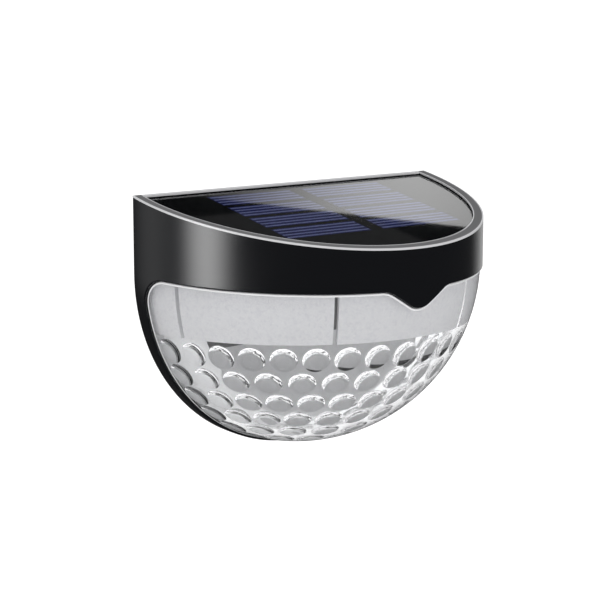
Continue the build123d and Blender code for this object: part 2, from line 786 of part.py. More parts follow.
def make_parts():
    parts = {
        "housing": make_housing(),
        "trim_ring": make_trim_ring(),
        "panel_cover": make_panel_cover(),
        "panel_board": make_panel_board(),
        "panel_pad": make_panel_pad(),
        "lens": make_lens(),
        "diffuser": make_diffuser(),
        "reflector": make_reflector(),
        "reflector_screws": make_reflector_screws(),
        "led_board": make_led_board(),
        "gasket": make_gasket(),
        "back_plate": make_back_plate(),
        "back_screws": make_back_screws(),
        "control_board": make_control_board(),
        "board_screws": make_board_screws(),
        "control_chip": make_chip(),
        "inductor": make_inductor(),
        "capacitor": make_capacitor(),
        "battery": make_battery(),
        "battery_holder": make_battery_holder(),
        "contact_positive": make_contact(1),
        "contact_negative": make_contact(-1),
        "switch_body": make_switch_body(),
        "switch_knob": make_switch_knob(),
    }
    for index, cell in enumerate(make_cells(), 1):
        parts[f"solar_cell_{index}"] = cell
    for index, (x, y) in enumerate(led_places(), 1):
        parts[f"led_{index}"] = make_led(x, y)
    for name, side in (("positive", 1), ("negative", -1)):
        parts[f"panel_lead_{name}"] = make_panel_lead(side)
        parts[f"led_lead_{name}"] = make_led_lead(side)
        parts[f"battery_lead_{name}"] = make_battery_lead(side)
    return parts


os.makedirs("parts", exist_ok=True)
for node, shape in make_parts().items():
    solids = shape if isinstance(shape, list) else [shape]
    body = Compound(children=solids) if len(solids) > 1 else solids[0]
    export_step(body, f"parts/{node}.step")
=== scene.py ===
import bmesh
import bpy
import json
import math
from mathutils import Matrix, Vector
from mathutils.geometry import delaunay_2d_cdt


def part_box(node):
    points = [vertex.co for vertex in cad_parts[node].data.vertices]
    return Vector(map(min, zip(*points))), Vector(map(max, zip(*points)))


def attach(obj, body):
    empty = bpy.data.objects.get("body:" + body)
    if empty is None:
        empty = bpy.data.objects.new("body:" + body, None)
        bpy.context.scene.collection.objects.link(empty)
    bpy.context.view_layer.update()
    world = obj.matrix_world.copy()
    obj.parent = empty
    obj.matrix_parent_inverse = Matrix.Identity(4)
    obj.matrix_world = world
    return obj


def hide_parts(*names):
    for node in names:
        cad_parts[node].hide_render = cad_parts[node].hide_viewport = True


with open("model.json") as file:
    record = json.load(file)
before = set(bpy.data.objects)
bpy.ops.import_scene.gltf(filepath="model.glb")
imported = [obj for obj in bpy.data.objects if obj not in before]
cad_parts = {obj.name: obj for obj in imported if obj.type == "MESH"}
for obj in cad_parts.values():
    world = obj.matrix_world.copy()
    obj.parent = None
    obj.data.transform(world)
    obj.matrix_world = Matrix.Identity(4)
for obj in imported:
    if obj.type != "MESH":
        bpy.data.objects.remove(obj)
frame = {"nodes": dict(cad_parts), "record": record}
nodes = frame["nodes"]
slotOf = {part["node"]: part["material_slot"] for part in frame["record"]["subparts"]}
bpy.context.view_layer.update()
mm = 0.001
print("frame loaded,", len(nodes), "nodes")

# The round form that housing, lens and sleeve share: its axis is upright, and its dome hangs below the turn
roundForm = {"axisOffset": 4.5 * mm, "turnHeight": -0.9 * mm}
roundCentre = Vector((0, -roundForm["axisOffset"], roundForm["turnHeight"]))

# The roof, with the panel in it, slopes down towards the front
roofSlope = math.radians(12.1)
roofAlong = Vector((0, math.cos(roofSlope), math.sin(roofSlope)))
roofUp = Vector((0, -math.sin(roofSlope), math.cos(roofSlope)))


def linkObject(name, data):
    item = bpy.data.objects.new(name, data)
    bpy.context.scene.collection.objects.link(item)
    return item


# Camera

cameraView = {"place": (-0.36616, -0.45902, 0.08530), "azimuth": 39.0566, "elevation": 9.7783,
              "lens": 112.28, "clipStart": 0.01}


def makeCamera():
    turn = math.radians(cameraView["azimuth"])
    drop = math.radians(cameraView["elevation"])
    ahead = Vector((math.sin(turn) * math.cos(drop), math.cos(turn) * math.cos(drop), -math.sin(drop)))
    camera = linkObject("camera", bpy.data.cameras.new("camera"))
    camera.location = cameraView["place"]
    camera.rotation_euler = ahead.to_track_quat("-Z", "Y").to_euler()
    camera.data.lens = cameraView["lens"]
    camera.data.clip_start = cameraView["clipStart"]
    bpy.context.scene.camera = camera


makeCamera()
bpy.context.scene.view_settings.view_transform = "Standard"
print("camera ready")


# Small helpers for node trees

def addNode(tree, kind, **settings):
    node = tree.nodes.new(kind)
    for name, value in settings.items():
        setattr(node, name, value)
    return node


# Sets or links a node's inputs: n0, n1 and so on go by number, else an underscore stands for a space
def setInputs(tree, node, **values):
    for name, value in values.items():
        socket = node.inputs[int(name[1:])] if name.startswith("n") else node.inputs[name.replace("_", " ")]
        if isinstance(value, bpy.types.NodeSocket):
            tree.links.new(value, socket)
        else:
            socket.default_value = value
    return node


def maths(tree, operation, first, second=0.0, third=0.0):
    node = addNode(tree, "ShaderNodeMath", operation=operation)
    return setInputs(tree, node, n0=first, n1=second, n2=third).outputs[0]


def newMaterial(name):
    material = bpy.data.materials.new(name)
    material.use_nodes = True
    tree = material.node_tree
    return material, tree, tree.nodes["Principled BSDF"]


def objectCoords(tree):
    return addNode(tree, "ShaderNodeTexCoord").outputs["Object"]


def addNoise(tree, scale, detail, roughness=0.5):
    node = addNode(tree, "ShaderNodeTexNoise")
    setInputs(tree, node, Vector=objectCoords(tree), Scale=scale, Detail=detail, Roughness=roughness)
    return node.outputs[0]


def addBump(tree, height, strength, depth):
    node = addNode(tree, "ShaderNodeBump")
    return setInputs(tree, node, Strength=strength, Distance=depth, Height=height).outputs[0]


def smoothStep(tree, value, low, high):
    node = addNode(tree, "ShaderNodeMapRange", interpolation_type="SMOOTHSTEP")
    return setInputs(tree, node, n0=value, n1=low, n2=high).outputs[0]


def mixColour(tree, factor, first, second):
    node = addNode(tree, "ShaderNodeMix", data_type="RGBA")
    return setInputs(tree, node, n0=factor, n6=first, n7=second).outputs[2]


def grey(value, blue=0.0):
    return (value, value, value * (1 + blue), 1)


def newGroup(name, inputs, outputs):
    group = bpy.data.node_groups.new(name, "ShaderNodeTree")
    for label, value in inputs:
        socket = group.interface.new_socket(name=label, in_out="INPUT", socket_type="NodeSocketFloat")
        socket.default_value = value
    for label in outputs:
        group.interface.new_socket(name=label, in_out="OUTPUT", socket_type="NodeSocketFloat")
    return group, addNode(group, "NodeGroupInput"), addNode(group, "NodeGroupOutput")


# Moulded plastic: a faint grain in the skin and a slow change of gloss
skinLook = {"grainDetail": 2.0, "cloudScale": 60.0, "cloudDetail": 3.0, "bumpStrength": 0.3}


def buildMouldedSkin():
    group, inside, outside = newGroup(
        "mouldedSkin", (("Grain Size", 0.35 * mm), ("Roughness", 0.3), ("Variation", 0.06)),
        ("Height", "Roughness"))
    scale = maths(group, "DIVIDE", 1.0, inside.outputs["Grain Size"])
    grain = addNoise(group, scale, skinLook["grainDetail"])
    cloud = addNoise(group, skinLook["cloudScale"], skinLook["cloudDetail"])
    swing = maths(group, "SUBTRACT", cloud, 0.5)
    rough = maths(group, "MULTIPLY_ADD", swing, inside.outputs["Variation"], inside.outputs["Roughness"])
    group.links.new(grain, outside.inputs["Height"])
    group.links.new(rough, outside.inputs["Roughness"])
    return group


# Flecks and patches: a mask from noise, with a soft threshold
fleckNoise = {"detail": 3.0, "roughness": 0.6}


def buildFleckMask():
    group, inside, outside = newGroup(
        "fleckMask", (("Size", 0.5 * mm), ("Threshold", 0.5), ("Softness", 0.1)), ("Mask",))
    scale = maths(group, "DIVIDE", 1.0, inside.outputs["Size"])
    noise = addNoise(group, scale, fleckNoise["detail"], fleckNoise["roughness"])
    top = maths(group, "ADD", inside.outputs["Threshold"], inside.outputs["Softness"])
    group.links.new(smoothStep(group, noise, inside.outputs["Threshold"], top), outside.inputs["Mask"])
    return group


mouldedSkin = buildMouldedSkin()
fleckMask = buildFleckMask()


def placeSkin(tree, grainSize, roughness, variation):
    node = addNode(tree, "ShaderNodeGroup", node_tree=mouldedSkin)
    return setInputs(tree, node, Grain_Size=grainSize, Roughness=roughness, Variation=variation).outputs


def placeFlecks(tree, size, threshold, softness):
    node = addNode(tree, "ShaderNodeGroup", node_tree=fleckMask)
    return setInputs(tree, node, Size=size, Threshold=threshold, Softness=softness).outputs[0]


def plastic(name, colour, roughness, specular=0.5, grainDepth=0.02 * mm, variation=0.06,
            grainSize=0.35 * mm):
    material, tree, shader = newMaterial(name)
    skin = placeSkin(tree, grainSize, roughness, variation)
    bump = addBump(tree, skin["Height"], skinLook["bumpStrength"], grainDepth)
    setInputs(tree, shader, Base_Color=colour, Specular_IOR_Level=specular, Roughness=skin["Roughness"],
              Normal=bump)
    return material


def metal(name, colour, roughness, brushed=0.1, grainSize=0.2 * mm):
    material, tree, shader = newMaterial(name)
    skin = placeSkin(tree, grainSize, roughness, brushed)
    setInputs(tree, shader, Base_Color=colour, Metallic=1.0, Roughness=skin["Roughness"])
    return material


# The frosted sleeve: pale grey with fine flecks and broader dull patches
frosted = {"colour": grey(0.93, 0.015), "roughness": 0.55, "bumpStrength": 0.4, "bumpDepth": 0.05 * mm,
           "fleck": grey(0.99), "fleckSize": 0.45 * mm, "fleckThreshold": 0.5, "fleckSoftness": 0.18,
           "shade": grey(0.86, 0.03), "shadeSize": 1.125 * mm, "shadeThreshold": 0.45,
           "shadeSoftness": 0.25}


def makeFrosted():
    material, tree, shader = newMaterial("frostedPlastic")
    pale = placeFlecks(tree, frosted["fleckSize"], frosted["fleckThreshold"], frosted["fleckSoftness"])
    dull = placeFlecks(tree, frosted["shadeSize"], frosted["shadeThreshold"], frosted["shadeSoftness"])
    base = mixColour(tree, dull, frosted["colour"], frosted["shade"])
    colour = mixColour(tree, pale, base, frosted["fleck"])
    bump = addBump(tree, pale, frosted["bumpStrength"], frosted["bumpDepth"])
    setInputs(tree, shader, Base_Color=colour, Roughness=frosted["roughness"], Normal=bump)
    return material


# The reflector is silvered below a set height and near-black above it, inside the lamp compartment. Its skirt,
# behind skirtDepth, is painted brighter than the bowl, painted light on the part that faces sideways, and the
# silver reaches higher up on it.
silvered = {"colour": grey(0.60, 0.01), "pale": grey(0.64, 0.01), "skirt": grey(0.95), "hidden": grey(0.03),
            "skirtDepth": -18.5 * mm, "edgeHeight": -22.0 * mm, "skirtEdge": -17.0 * mm, "waveSize": 4 * mm,
            "waveThreshold": 0.35, "waveSoftness": 0.3, "roughness": 0.4}


def makeSilvered():
    material, tree, shader = newMaterial("silveredPlastic")
    place = setInputs(tree, addNode(tree, "ShaderNodeSeparateXYZ"), Vector=objectCoords(tree)).outputs
    wave = placeFlecks(tree, silvered["waveSize"], silvered["waveThreshold"], silvered["waveSoftness"])
    tone = mixColour(tree, wave, silvered["colour"], silvered["pale"])
    onSkirt = maths(tree, "GREATER_THAN", place[1], silvered["skirtDepth"])
    edge = maths(tree, "MULTIPLY_ADD", onSkirt, silvered["skirtEdge"] - silvered["edgeHeight"],
                 silvered["edgeHeight"])
    above = maths(tree, "GREATER_THAN", place[2], edge)
    # painted light: the skirt's colour is brighter than the bowl's
    lit = mixColour(tree, onSkirt, tone, silvered["skirt"])
    setInputs(tree, shader, Base_Color=mixColour(tree, above, lit, silvered["hidden"]),
              Roughness=silvered["roughness"], Metallic=0.0)
    return material


# The rim round the panel: its face is a satin grey, and narrow bands at its inner and outer edges are painted
# near-white as painted highlights
rimLook = {"face": grey(0.16, 0.03), "edge": grey(0.62, 0.02), "outer": 57.65 * mm, "inner": 55.35 * mm,
           "soft": 0.12 * mm, "grainSize": 0.35 * mm, "roughness": 0.34, "variation": 0.06}


def makeRimGrey():
    material, tree, shader = newMaterial("rimGrey")
    skin = placeSkin(tree, rimLook["grainSize"], rimLook["roughness"], rimLook["variation"])
    place = setInputs(tree, addNode(tree, "ShaderNodeSeparateXYZ"), Vector=objectCoords(tree)).outputs
    depth = maths(tree, "ADD", place[1], roundForm["axisOffset"])
    square = maths(tree, "MULTIPLY_ADD", depth, depth, maths(tree, "MULTIPLY", place[0], place[0]))
    reach = maths(tree, "SQRT", square)
    outer = smoothStep(tree, reach, rimLook["outer"], rimLook["outer"] + rimLook["soft"])
    inner = smoothStep(tree, reach, rimLook["inner"], rimLook["inner"] - rimLook["soft"])
    # painted highlight: the edge colour fills the two bands at the rim's inner and outer edges
    colour = mixColour(tree, maths(tree, "MAXIMUM", outer, inner), rimLook["face"], rimLook["edge"])
    setInputs(tree, shader, Base_Color=colour, Roughness=skin["Roughness"])
    return material


# Solar cells: deep blue with a slight change of tone from grain to grain
cellLook = {"deep": (0.024, 0.029, 0.094, 1), "pale": (0.034, 0.041, 0.125, 1), "grains": 350.0,
            "roughness": 0.3}


def makeCellBlue():
    material, tree, shader = newMaterial("cellBlue")
    grains = addNode(tree, "ShaderNodeTexVoronoi")
    setInputs(tree, grains, Vector=objectCoords(tree), Scale=cellLook["grains"])
    tone = setInputs(tree, addNode(tree, "ShaderNodeSeparateColor"), n0=grains.outputs["Color"])
    colour = mixColour(tree, tone.outputs[0], cellLook["deep"], cellLook["pale"])
    setInputs(tree, shader, Base_Color=colour, Roughness=cellLook["roughness"], Specular_IOR_Level=0.0)
    return material


# The printed lines on the cells, a little worn
fingerLook = {"fresh": (0.19, 0.22, 0.44, 1), "worn": (0.15, 0.18, 0.38, 1), "wearSize": 0.6 * mm,
              "wearThreshold": 0.4, "wearSoftness": 0.3, "roughness": 0.4}


def makeFingerSilver():
    material, tree, shader = newMaterial("fingerSilver")
    wear = placeFlecks(tree, fingerLook["wearSize"], fingerLook["wearThreshold"],
                       fingerLook["wearSoftness"])
    colour = mixColour(tree, wear, fingerLook["fresh"], fingerLook["worn"])
    setInputs(tree, shader, Base_Color=colour, Roughness=fingerLook["roughness"], Specular_IOR_Level=0.0)
    return material


# Clear plastic for the dome and the panel's cover
clearLook = {"index": 1.49, "grainSize": 3 * mm, "variation": 0.01}


def makeClear(name, roughness, tint):
    material, tree, shader = newMaterial(name)
    film = placeSkin(tree, clearLook["grainSize"], roughness, clearLook["variation"])
    setInputs(tree, shader, Base_Color=tint, Transmission_Weight=1.0, Metallic=0.0, IOR=clearLook["index"],
              Roughness=film["Roughness"])
    return material


# Circuit boards: patches of track show through the lacquer
boardLook = {"patchSize": 2.5 * mm, "threshold": 0.48, "softness": 0.04, "roughness": 0.35}


def makeBoard(name, colour, track):
    material, tree, shader = newMaterial(name)
    patches = placeFlecks(tree, boardLook["patchSize"], boardLook["threshold"], boardLook["softness"])
    tone = mixColour(tree, patches, colour, track)
    setInputs(tree, shader, Base_Color=tone, Roughness=boardLook["roughness"])
    return material


finishes = {
    "housing_black": plastic("housingBlack", (0.0045, 0.0050, 0.0066, 1), 0.24),
    "rim_grey": makeRimGrey(),
    "cover_clear": makeClear("coverClear", 0.02, grey(1.0)),
    "panel_black": plastic("panelBlack", (0.011, 0.012, 0.013, 1), 0.5, specular=0.0),
    "cell_blue": makeCellBlue(),
    "foam_tape": plastic("foamTape", grey(0.03), 0.9, specular=0.2, grainDepth=0.2 * mm, variation=0.1,
                         grainSize=0.6 * mm),
    "lens_clear": makeClear("lensClear", 0.015, (0.985, 0.99, 1, 1)),
    "diffuser_frosted": makeFrosted(),
    "reflector_silver": makeSilvered(),
    "lamp_board": makeBoard("lampBoard", grey(0.7), grey(0.6)),
    "lamp_white": plastic("lampWhite", (0.8, 0.72, 0.4, 1), 0.4),
    "screw_steel": metal("screwSteel", grey(0.55), 0.3),
    "seal_rubber": plastic("sealRubber", grey(0.02), 0.8, specular=0.3),
    "plate_black": plastic("plateBlack", grey(0.02), 0.42, specular=0.4, grainDepth=0.05 * mm, variation=0.1,
                           grainSize=0.5 * mm),
    "control_green": makeBoard("controlGreen", (0.01, 0.10, 0.03, 1), (0.02, 0.16, 0.05, 1)),
    "chip_black": plastic("chipBlack", grey(0.015), 0.5),
    "inductor_grey": plastic("inductorGrey", grey(0.05), 0.6),
    "capacitor_can": metal("capacitorCan", grey(0.5), 0.25),
    "battery_wrap": plastic("batteryWrap", (0.02, 0.12, 0.05, 1), 0.3),
    "holder_black": plastic("holderBlack", grey(0.012), 0.45),
    "contact_steel": metal("contactSteel", grey(0.6), 0.3),
    "switch_can": metal("switchCan", grey(0.6), 0.35),
    "knob_black": plastic("knobBlack", grey(0.02), 0.4, grainDepth=0.05 * mm),
    "lead_red": plastic("leadRed", (0.35, 0.02, 0.015, 1), 0.4),
    "lead_black": plastic("leadBlack", grey(0.012), 0.4),
}
fingerSilver = makeFingerSilver()
# painted highlight: a near-white finish for the lens's border and the lip along it
lensEdgeHighlight = plastic("lensEdgeHighlight", grey(0.95, 0.01), 0.45, specular=0.4)
print("finishes ready")


# Carried-over parts: welded and smooth-shaded by a small tree, which keeps their corners crisp

weldDistance = 0.002 * mm
creaseAngle = math.radians(28)


def buildSoftShade():
    tree = bpy.data.node_groups.new("softShade", "GeometryNodeTree")
    tree.interface.new_socket(name="Geometry", in_out="INPUT", socket_type="NodeSocketGeometry")
    tree.interface.new_socket(name="Crease", in_out="INPUT", socket_type="NodeSocketFloat")
    tree.interface.new_socket(name="Geometry", in_out="OUTPUT", socket_type="NodeSocketGeometry")
    inside = addNode(tree, "NodeGroupInput")
    outside = addNode(tree, "NodeGroupOutput")
    weld = addNode(tree, "GeometryNodeMergeByDistance")
    setInputs(tree, weld, Geometry=inside.outputs["Geometry"], Distance=weldDistance)
    smooth = addNode(tree, "GeometryNodeSetShadeSmooth", domain="FACE")
    setInputs(tree, smooth, n0=weld.outputs[0], n2=True)
    angle = addNode(tree, "GeometryNodeInputMeshEdgeAngle")
    sharp = addNode(tree, "FunctionNodeCompare", data_type="FLOAT", operation="GREATER_THAN")
    setInputs(tree, sharp, n0=angle.outputs[0], n1=inside.outputs["Crease"])
    crease = addNode(tree, "GeometryNodeSetShadeSmooth", domain="EDGE")
    setInputs(tree, crease, n0=smooth.outputs[0], n1=sharp.outputs[0], n2=False)
    tree.links.new(crease.outputs[0], outside.inputs[0])
    return tree


def setTreeInput(modifier, name, value):
    for item in modifier.node_group.interface.items_tree:
        if item.name == name and item.in_out == "INPUT":
            modifier[item.identifier] = value


softShade = buildSoftShade()


def dressNode(name):
    part = nodes[name]
    part.data.materials.clear()
    part.data.materials.append(finishes[slotOf[name]])
    modifier = part.modifiers.new("softShade", "NODES")
    modifier.node_group = softShade
    setTreeInput(modifier, "Crease", creaseAngle)


for nodeName in nodes:
    dressNode(nodeName)
print("carried-over parts dressed")


# A shape with the frame part's own faces, welded
def weldedCopy(nodeName):
    shape = bmesh.new()
    shape.from_mesh(nodes[nodeName].data)
    bmesh.ops.remove_doubles(shape, verts=shape.verts, dist=weldDistance)
    return shape


# The way out to a point: from the axis of the round form above its turn, and from its centre below
def roundAway(point):
    away = point - roundCentre
    return Vector((away.x, away.y, min(away.z, 0)))


def roundReach(point):
    return roundAway(point).length


def roundNormal(point):
    return roundAway(point).normalized()


# Joins each row of vertices to the next, round and round
def joinRows(shape, rows):
    made = []
    for first, second in zip(rows, rows[1:]):
        for side in range(len(first)):
            following = (side + 1) % len(first)
            made.append(shape.faces.new((first[side], first[following], second[following], second[side])))
    return made


# True normals: on faces that lie along the round form they come from the form, and an inner face with bumps
# brings its own in the layer bumpNormal. A face lies along the form where it is farther out than reach and
# leans less than lean from it.
trueNormals = {"lean": math.radians(9), "reach": 45 * mm, "sameSide": 0.5}


def trueNormal(point, faceNormal, given):
    if given is not None and given.length > trueNormals["sameSide"]:
        if given.dot(faceNormal) > trueNormals["sameSide"]:
            return given.copy()
    outward = roundNormal(point)
    lean = outward.dot(faceNormal)
    if abs(lean) > math.cos(trueNormals["lean"]) and (point - roundCentre).length > trueNormals["reach"]:
        return outward if lean > 0 else -outward
    return None


# Turns a shape into a piece in place of a frame part
def finishPiece(shape, name, nodeName):
    mesh = bpy.data.meshes.new(name)
    shape.to_mesh(mesh)
    shape.free()
    mesh.polygons.foreach_set("use_smooth", [True] * len(mesh.polygons))
    mesh.set_sharp_from_angle(angle=creaseAngle)
    given = mesh.attributes.get("bumpNormal")
    normals = [Vector(corner.vector) for corner in mesh.corner_normals]
    for face in mesh.polygons:
        for loop in face.loop_indices:
            vertex = mesh.loops[loop].vertex_index
            own = given.data[vertex].vector if given is not None else None
            better = trueNormal(mesh.vertices[vertex].co, face.normal, own)
            if better is not None:
                normals[loop] = better
    mesh.normals_split_custom_set(normals)
    mesh.materials.append(finishes[slotOf[nodeName]])
    piece = linkObject(name, mesh)
    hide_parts(nodeName)
    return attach(piece, "light")


finishPiece(weldedCopy("housing"), "housingShell", "housing")
finishPiece(weldedCopy("trim_ring"), "trimRing", "trim_ring")
print("housing and ring ready")


# The cover lies on the board and the cells, bonded to them, so no film of air is left under it
cover = {"bond": 0.03 * mm, "sheet": 1.0 * mm, "smallest": 0.001 * mm}


def makeCover():
    shape = weldedCopy("panel_cover")
    heights = [vertex.co.dot(roofUp) for vertex in shape.verts]
    top, bottom = max(heights), min(heights)
    for vertex, height in zip(shape.verts, heights):
        if height < top - cover["sheet"]:
            vertex.co += roofUp * (bottom - cover["bond"] - height)
    bmesh.ops.remove_doubles(shape, verts=shape.verts, dist=weldDistance)
    bmesh.ops.dissolve_degenerate(shape, edges=shape.edges, dist=cover["smallest"])
    return shape


finishPiece(makeCover(), "coverSheet", "panel_cover")
print("cover ready")


# The lens: its outer faces are the frame part's, and its inner face is made anew with finely rounded bumps.
# The first row lies firstRow degrees below the turn.

bumps = {"diameter": 8.1 * mm, "height": 1.6 * mm, "pitch": 9.4 * mm, "firstRow": 24.3, "rowStep": 9.0,
         "rows": 7, "endDepth": 8.1 * mm, "footRound": 0.3 * mm, "footSteps": 4, "sides": 48, "rings": 6}

# The land between the bumps is meshed on a flat map, whose middle lies mapFall degrees below the turn. On it
# mapStep, mapReach and merge are lengths, borderRoom is a share of mapStep, and bumpRoom and bumpEdge are shares
# of a bump's angle.
land = {"mapFall": 45.0, "mapStep": 0.06, "mapReach": 2.4, "merge": 1e-7, "borderRoom": 0.6,
        "bumpRoom": 1.12, "bumpEdge": 0.995}

# The inner face that makes way lies within innerBand of its radius, which the topmost vertices give
oldFace = {"topBand": 0.01 * mm, "innerBand": 0.15 * mm, "facing": 0.5}


def bumpPlaces(radius):
    places = []
    for row in range(bumps["rows"]):
        fall = math.radians(bumps["firstRow"] + row * bumps["rowStep"])
        lastTurn = math.acos((bumps["endDepth"] - roundForm["axisOffset"]) / (radius * math.cos(fall)))
        gaps = max(1, round(2 * lastTurn * radius * math.cos(fall) / bumps["pitch"]))
        places += [(lastTurn * (2 * index / gaps - 1), fall) for index in range(gaps + 1)]
    return places


def radialDirection(turn, fall):
    return Vector((math.sin(turn) * math.cos(fall), -math.cos(turn) * math.cos(fall), -math.sin(fall)))


# Distances from the bump's axis with the height of the face there and the tilt of its normal, from the foot
# inwards. Heights are measured along the axis from the centre of the round form.
def bumpProfile(radius):
    halfWidth = bumps["diameter"] / 2
    tip = radius - bumps["height"]
    drop = math.sqrt(radius ** 2 - halfWidth ** 2) - tip
    ball = (halfWidth ** 2 + drop ** 2) / (2 * drop)
    ballCentre = tip + ball
    foot = bumps["footRound"]
    # the foot's arc touches the dome from inside and the ball from outside
    reachDome, reachBall = radius - foot, ball + foot
    centreHeight = (reachDome ** 2 - reachBall ** 2 + ballCentre ** 2) / (2 * ballCentre)
    centreOut = math.sqrt(reachDome ** 2 - centreHeight ** 2)
    domeTilt = math.asin(centreOut / reachDome)
    ballTilt = math.asin(centreOut / reachBall)
    profile = []
    for step in range(bumps["footSteps"] + 1):
        tilt = domeTilt + (-ballTilt - domeTilt) * step / bumps["footSteps"]
        profile.append((centreOut + foot * math.sin(tilt), centreHeight + foot * math.cos(tilt), -tilt))
    for ring in range(1, bumps["rings"]):
        tilt = ballTilt * (1 - ring / bumps["rings"])
        profile.append((ball * math.sin(tilt), ballCentre - ball * math.cos(tilt), tilt))
    return profile, tip


# The inner face is laid flat by a stereographic map, on which circles stay circles
mapMiddle = radialDirection(0, math.radians(land["mapFall"]))
mapAcross = Vector((1, 0, 0))
mapUp = mapAcross.cross(mapMiddle)


def flatten(point, radius):
    away = point - roundCentre
    turn = math.atan2(away.x, -away.y)
    rise = away.z / radius if away.z > 0 else math.asin(max(-1.0, away.z / away.length))
    direction = Vector((math.sin(turn) * math.cos(rise), -math.cos(turn) * math.cos(rise), math.sin(rise)))
    depth = 1 + direction.dot(mapMiddle)
    return Vector((2 * direction.dot(mapAcross) / depth, 2 * direction.dot(mapUp) / depth))


def unflatten(spot, radius):
    square = spot.length_squared / 4
    direction = (mapMiddle * (1 - square) + mapAcross * spot.x + mapUp * spot.y) / (1 + square)
    if direction.z <= 0:
        return roundCentre + direction * radius
    turn = math.atan2(direction.x, -direction.y)
    return roundCentre + Vector((math.sin(turn) * radius, -math.cos(turn) * radius,
                                 math.asin(direction.z) * radius))


# The vertices of a loop of edges, in their order round it
def walkLoop(edges):
    ring = {}
    for edge in edges:
        for vertex in edge.verts:
            ring.setdefault(vertex, []).append(edge.other_vert(vertex))
    loop = [next(iter(ring))]
    before = None
    while True:
        following = next(v for v in ring[loop[-1]] if v is not before)
        if following is loop[0]:
            return loop
        before = loop[-1]
        loop.append(following)


def insideLoop(spot, outline):
    inside = False
    for first, second in zip(outline, outline[1:] + outline[:1]):
        if (first.y > spot.y) != (second.y > spot.y):
            if spot.x < (second.x - first.x) * (spot.y - first.y) / (second.y - first.y) + first.x:
                inside = not inside
    return inside


def clearOfBumps(spot, radius, axes, angle):
    away = (unflatten(spot, radius) - roundCentre).normalized()
    closest = math.cos(angle)
    return all(away.dot(axis) < closest for axis in axes)


def turnInward(faces):
    for face in faces:
        if face.normal.dot(roundNormal(face.calc_center_median())) > 0:
            face.normal_flip()


# The lens without its inner face, and the radius of that face
def openLens():
    shape = weldedCopy("lens")
    reach = {vertex: roundReach(vertex.co) for vertex in shape.verts}
    top = max(vertex.co.z for vertex in shape.verts)
    radius = min(reach[vertex] for vertex in shape.verts if vertex.co.z > top - oldFace["topBand"])
    farthest = radius + oldFace["innerBand"]
    old = [face for face in shape.faces if all(reach[vertex] < farthest for vertex in face.verts)
           and abs(face.normal.dot(roundNormal(face.calc_center_median()))) > oldFace["facing"]]
    bmesh.ops.delete(shape, geom=old, context="FACES")
    return shape, radius


# The vertices of one bump: its rings from the foot inwards, and the one at its tip
def addBumpRings(shape, layer, turn, axis, profile, tip):
    across = Vector((math.cos(turn), math.sin(turn), 0))
    along = axis.cross(across)
    rings = []
    for out, height, tilt in profile:
        ring = []
        for side in range(bumps["sides"]):
            angle = 2 * math.pi * side / bumps["sides"]
            spoke = across * math.cos(angle) + along * math.sin(angle)
            vertex = shape.verts.new(roundCentre + axis * height + spoke * out)
            vertex[layer] = spoke * math.sin(tilt) - axis * math.cos(tilt)
            ring.append(vertex)
        rings.append(ring)
    middle = shape.verts.new(roundCentre + axis * tip)
    middle[layer] = -axis
    return rings, middle


# Loose points on the map that keep the land between the bumps round
def landSpots(outline, radius, axes, footAngle):
    steps = int(land["mapReach"] / land["mapStep"])
    spots = []
    for column in range(-steps, steps + 1):
        for row in range(-steps, steps + 1):
            spot = Vector((column * land["mapStep"], row * land["mapStep"]))
            if min((spot - other).length for other in outline) < land["borderRoom"] * land["mapStep"]:
                continue
            if insideLoop(spot, outline) and clearOfBumps(spot, radius, axes, footAngle * land["bumpRoom"]):
                spots.append(spot)
    return spots


def fillLand(shape, spots, owners, edges, outline, radius, axes, footAngle):
    flat = delaunay_2d_cdt(spots, edges, [], 0, land["merge"])
    source = [min(found) if found else None for found in flat[3]]
    for corners in flat[2]:
        if any(source[corner] is None for corner in corners):
            raise ValueError("the bumps cross each other or the border")
        middle = sum((flat[0][corner] for corner in corners), Vector((0, 0))) / len(corners)
        if insideLoop(middle, outline) and clearOfBumps(middle, radius, axes, footAngle * land["bumpEdge"]):
            face = shape.faces.new([owners[source[corner]] for corner in corners])
            face.normal_update()
            turnInward([face])


def makeLens():
    shape, radius = openLens()
    layer = shape.verts.layers.float_vector.new("bumpNormal")
    owners = walkLoop(edge for edge in shape.edges if edge.is_boundary)
    outline = [flatten(vertex.co, radius) for vertex in owners]
    spots = list(outline)
    edges = [(index, (index + 1) % len(owners)) for index in range(len(owners))]
    profile, tip = bumpProfile(radius)
    footAngle = math.asin(profile[0][0] / radius)
    axes = []
    dishes = []
    for turn, fall in bumpPlaces(radius):
        axes.append(radialDirection(turn, fall))
        dishes.append(addBumpRings(shape, layer, turn, axes[-1], profile, tip))
        foot = dishes[-1][0][0]
        edges += [(len(spots) + side, len(spots) + (side + 1) % len(foot)) for side in range(len(foot))]
        spots += [flatten(vertex.co, radius) for vertex in foot]
        owners += foot
    loose = landSpots(outline, radius, axes, footAngle)
    spots += loose
    owners += [shape.verts.new(unflatten(spot, radius)) for spot in loose]
    fillLand(shape, spots, owners, edges, outline, radius, axes, footAngle)
    made = []
    for rings, middle in dishes:
        made += joinRows(shape, rings)
        last = rings[-1]
        made += [shape.faces.new((vertex, last[(side + 1) % len(last)], middle))
                 for side, vertex in enumerate(last)]
    shape.normal_update()
    turnInward(made)
    print("lens:", len(dishes), "bumps,", len(shape.faces), "faces, open edges",
          sum(1 for edge in shape.edges if len(edge.link_faces) != 2))
    return shape


# The sleeve's outer face, moved out until it touches the glass. The tray above it stays as it is.
sleeve = {"growth": 0.38 * mm, "outerFace": 53.874 * mm, "band": 0.03 * mm, "trayHeight": -0.3 * mm}


